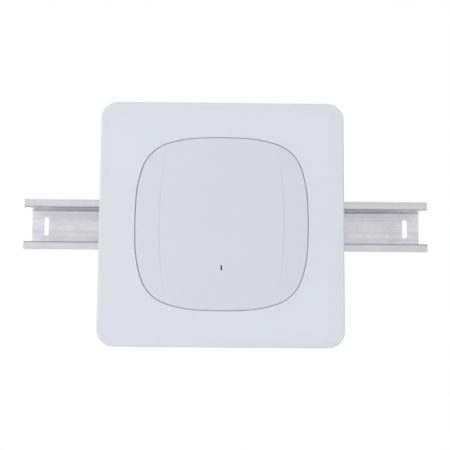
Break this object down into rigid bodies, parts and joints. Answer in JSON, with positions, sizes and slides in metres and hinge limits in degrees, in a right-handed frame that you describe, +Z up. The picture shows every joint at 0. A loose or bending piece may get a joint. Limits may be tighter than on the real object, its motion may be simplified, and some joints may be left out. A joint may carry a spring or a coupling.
{
  "type": "flush ceiling access point",
  "caption": "Rounded-square wireless access point set flush in a square ceiling trim plate, hung on a bracket under a slotted hat-section rail, with a magnet-held trim.",
  "frame": {"origin": "middle of the square trim plate, in the plane of the ceiling's underside, which is the top of the trim's gasket", "axes": "+Z up into the ceiling, so the face looks along -Z; +X along the rail; the status light is towards -Y and the sockets open towards +Y"},
  "size_m": [0.511, 0.3048, 0.0629],
  "materials": {
    "white_plastic": "fine spark-eroded texture, white",
    "cover_plastic": "smooth satin white",
    "foam": "closed-cell foam, dark grey",
    "galvanised_steel": "hot-dip galvanised sheet",
    "zinc_plate": "bright zinc plated",
    "screw_steel": "zinc plated fasteners",
    "magnet_nickel": "nickel plated",
    "die_cast": "die-cast aluminium, bead blasted",
    "black_rubber": "moulded rubber",
    "grey_silicone": "silicone",
    "label_film": "blank film label",
    "socket_plastic": "black nylon",
    "contact_gold": "gold plated",
    "usb_steel": "tin plated steel",
    "button_grey": "grey acetal",
    "switch_black": "black nylon",
    "circuit_board": "green solder mask",
    "chip_black": "moulded epoxy",
    "shield_tin": "tin plated steel",
    "thermal_silicone": "thermal pad",
    "ferrite": "ferrite and tape",
    "capacitor_can": "sleeveless can",
    "antenna_aluminium": "sheet aluminium",
    "antenna_brass": "tinned brass strip",
    "coax_jacket": "thin coaxial lead",
    "smoked_lens": "smoked polycarbonate",
    "led_epoxy": "light-emitting diode"
  },
  "bodies": {
    "root": {"hanger_rail": "galvanised_steel", "cable_grommet": "black_rubber", "mounting_bracket": "zinc_plate", "bracket_spacers": "screw_steel", "bracket_bolts": "screw_steel", "bracket_nuts": "screw_steel", "lock_slider_rivets": "screw_steel", "front_cover": "cover_plastic", "rear_housing": "die_cast", "housing_gasket": "grey_silicone", "mounting_feet": "screw_steel", "cover_screws": "screw_steel", "ground_screw": "screw_steel", "rating_label": "label_film", "ethernet_jack": "socket_plastic", "ethernet_contacts": "contact_gold", "port_lights": "led_epoxy", "console_jack": "socket_plastic", "console_contacts": "contact_gold", "usb_port": "usb_steel", "button_switch": "switch_black", "main_board": "circuit_board", "board_screws": "screw_steel", "processor": "chip_black", "memory_chips": "chip_black", "rf_shields": "shield_tin", "thermal_pad": "thermal_silicone", "poe_transformer": "ferrite", "network_magnetics": "ferrite", "capacitors": "capacitor_can", "inductors": "ferrite", "antenna_plate": "antenna_aluminium", "antenna_elements": "antenna_brass", "antenna_screws": "screw_steel", "coax_leads": "coax_jacket", "coax_connectors": "contact_gold", "light_pipe": "smoked_lens", "status_led": "led_epoxy"},
    "trim": {"trim_plate": "white_plastic", "ceiling_gasket": "foam", "magnet_studs": "screw_steel", "magnet_lock_nuts": "screw_steel", "magnet_cups": "zinc_plate", "magnet_discs": "magnet_nickel"},
    "lock": {"lock_slider": "zinc_plate"},
    "button": {"mode_button": "button_grey", "switch_plunger": "switch_black"}
  },
  "joints": [
    {"name": "trim_pull", "type": "slide", "parent": "root", "child": "trim", "axis": [0, 0, -1], "range_m": [0, 0.06]},
    {"name": "lock_slide", "type": "slide", "parent": "root", "child": "lock", "axis": [1, 0, 0], "range_m": [0, 0.01]},
    {"name": "button_press", "type": "slide", "parent": "root", "child": "button", "axis": [0, -1, 0], "range_m": [0, 0.0008], "stiffness_N_per_m": 1500}
  ]
}
